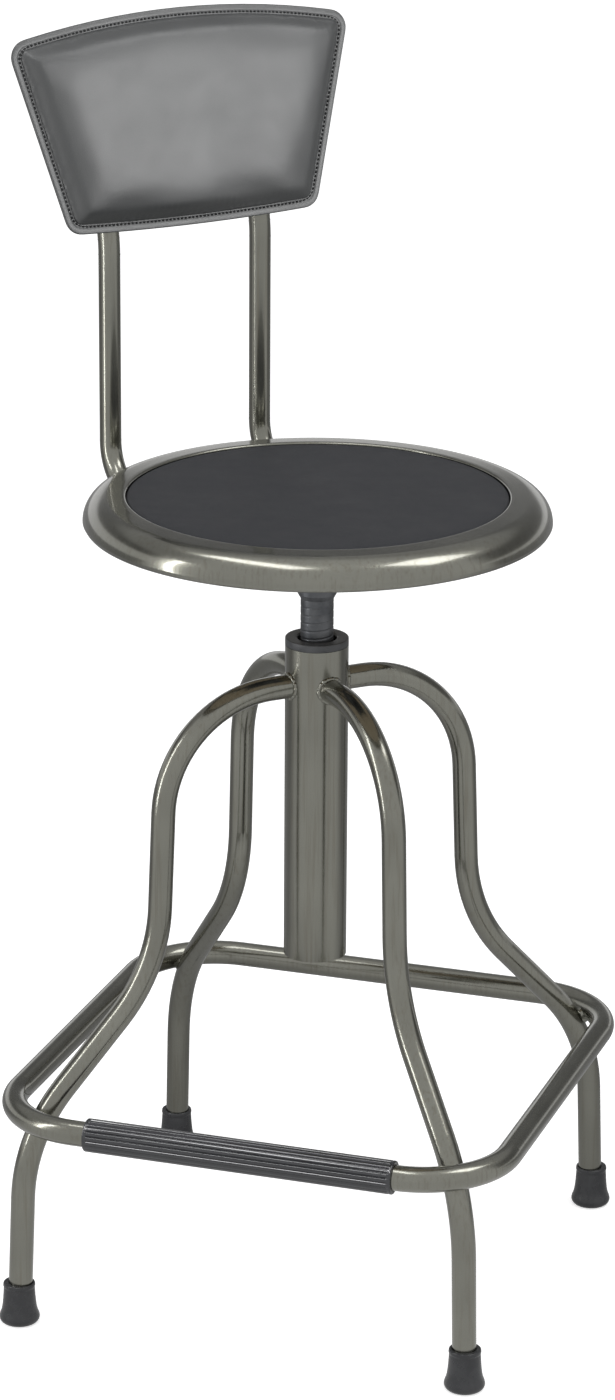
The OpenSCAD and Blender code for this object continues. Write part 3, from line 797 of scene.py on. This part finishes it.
def stage_floor():
    """A pale floor: nearly white to the camera. To glossy metal and to the light it bounces, it glows with
    painted light, brighter in front and dimmer behind.
    """
    mesh = bpy.data.meshes.new("studio_floor")
    half = 60.0
    corners = [(-half, -half, 0), (half, -half, 0), (half, half, 0), (-half, half, 0)]
    mesh.from_pydata(corners, [], [(0, 1, 2, 3)])
    floor = bpy.data.objects.new("studio_floor", mesh)
    bpy.context.scene.collection.objects.link(floor)
    f = Finish("studio_floor", Base_Color=(0.9, 0.9, 0.9, 1), Roughness=0.9, Specular_IOR_Level=0.0)
    glow = f.node("Emission", {"Color": (1, 1, 1, 1), "Strength": 0.62})
    seen = f.node("AddShader", {0: f.shader.outputs[0], 1: glow.outputs[0]})
    # Painted light: for all but camera rays the floor is an emission, brighter towards the camera than
    # behind.
    forward = f.node("VectorMath", {0: f.place, 1: TOWARD_CAMERA}, operation="DOT_PRODUCT").outputs["Value"]
    lit = f.spread(forward, -0.35, 0.25, 0.26, 0.72)
    painted_floor_glow = f.node("Emission", {"Color": (1, 1, 1, 1), "Strength": lit})
    rays = f.node("LightPath").outputs["Is Camera Ray"]
    shown = f.node("MixShader", {0: rays, 1: painted_floor_glow.outputs[0], 2: seen.outputs[0]})
    f.tree.links.new(shown.outputs[0], f.tree.nodes["Material Output"].inputs["Surface"])
    mesh.materials.append(f.material)


def studio_world():
    """White for the camera. The object sees a bright low backdrop, a wall above it that is darkest low down,
    and a pale ceiling and front.
    """
    backdrop, wall, deeper = 0.76, 0.42, 0.24
    surround = bpy.data.worlds.new("studio")
    surround.use_nodes = True
    bpy.context.scene.world = surround
    tree = surround.node_tree

    def add(kind, inputs, **settings):
        node = tree.nodes.new("ShaderNode" + kind)
        for name, value in settings.items():
            setattr(node, name, value)
        for socket, value in inputs.items():
            if isinstance(value, bpy.types.NodeSocket):
                tree.links.new(value, node.inputs[socket])
            else:
                node.inputs[socket].default_value = value
        return node.outputs

    def step(value, low, high):
        ends = {"Value": value, "From Min": low, "From Max": high}
        return add("MapRange", ends, interpolation_type="SMOOTHSTEP")["Result"]

    ray = add("TexCoord", {})["Generated"]
    height = add("SeparateXYZ", {0: ray})["Z"]
    tilt = add("VectorMath", {0: ray, 1: TO_THE_RIGHT * 0.12}, operation="DOT_PRODUCT")["Value"]
    ahead = add("VectorMath", {0: ray, 1: TOWARD_CAMERA}, operation="DOT_PRODUCT")["Value"]
    above_backdrop = step(add("Math", {0: height, 1: tilt}, operation="ADD")[0], 0.18, 0.26)
    below_ceiling = step(height, 0.96, 0.76)
    behind = step(ahead, 0.15, -0.08)
    between = add("Math", {0: above_backdrop, 1: below_ceiling}, operation="MULTIPLY")[0]
    dark = add("Math", {0: between, 1: behind}, operation="MULTIPLY")[0]
    plain = add("MapRange", {"Value": dark, "To Min": backdrop, "To Max": wall})["Result"]
    low_part = add("Math", {0: dark, 1: step(height, 0.60, 0.46)}, operation="MULTIPLY")[0]
    strength = add("Math", {0: low_part, 1: -deeper, 2: plain}, operation="MULTIPLY_ADD")[0]
    rays = add("LightPath", {})["Is Camera Ray"]
    seen = add("Mix", {0: rays, 2: strength, 3: 1.0}, data_type="FLOAT")[0]
    background = tree.nodes["Background"]
    background.inputs["Color"].default_value = (1, 1, 1, 1)
    tree.links.new(seen, background.inputs["Strength"])


def softbox(name, azimuth, elevation, distance, size, radiance, aim=(0, 0, 0.5), only=None):
    """An area light: degrees to the right of the camera and above the horizon as seen from what it aims at.

    With `only`, it lights just those pieces.
    """
    a, e = VIEW_AZIMUTH + math.radians(azimuth), math.radians(elevation)
    back = Vector((math.sin(a) * math.cos(e), -math.cos(a) * math.cos(e), math.sin(e)))
    target = Vector(aim)
    data = bpy.data.lights.new(name, "AREA")
    data.shape = "RECTANGLE"
    data.size, data.size_y = size
    data.energy = radiance * math.pi * size[0] * size[1]
    lamp = bpy.data.objects.new(name, data)
    lamp.location = target + back * distance
    lamp.rotation_euler = (-back).to_track_quat("-Z", "Y").to_euler()
    lamp.visible_camera = False
    bpy.context.scene.collection.objects.link(lamp)
    if only:
        lit = bpy.data.collections.new(name + "_lit")
        for piece in only:
            lit.objects.link(piece)
        lamp.light_linking.receiver_collection = lit


def camera():
    """The photographer's view: far off, long lens, a third of a degree off level."""
    distance, height, roll = 3.7297, 1.7273, math.radians(0.35)
    aim_height, aim_left = 0.4815, 0.0071
    data = bpy.data.cameras.new("camera")
    data.lens = 128.75
    data.sensor_width = 36.0
    data.clip_end = 200
    rig = bpy.data.objects.new("camera", data)
    rig.location = TOWARD_CAMERA * distance + Vector((0, 0, height))
    target = Vector((0, 0, aim_height)) - aim_left * TO_THE_RIGHT
    aim = (target - rig.location).to_track_quat("-Z", "Y").to_matrix().to_4x4()
    rig.rotation_euler = (aim @ Matrix.Rotation(roll, 4, "Z")).to_euler()
    bpy.context.scene.collection.objects.link(rig)
    bpy.context.scene.camera = rig


finish_cad_nodes()
seat_pan()
seat_pad()
pad_pieces = [back_flange(), back_cushion()]
back_stitches()
back_board()
back_cover()
lift_screw()
top_collar()
sleeve = footrest_sleeve()
column_weld_beads()
for foot in FEET:
    rubber_foot(foot)

stage_floor()
studio_world()
camera()
softbox("right_high", 80, 56, 2.2, (0.9, 0.9), 4.0)
softbox("left_strip", -70, 0, 1.1, (0.10, 1.0), 9.0, aim=(0, 0, 0.76))
softbox("overhead", -60, 74, 1.9, (1.2, 0.30), 4.5, aim=(0, 0, 0.3))
softbox("sleeve_glint", -55, 62, 1.4, (1.6, 0.16), 10.0, aim=(0, -0.2, 0.18), only=[sleeve])
softbox("pad_sheen", 58, 7, 1.4, (0.9, 0.9), 4.7, aim=(0, 0, 0.9), only=pad_pieces)
bpy.context.scene.view_settings.view_transform = "Standard"
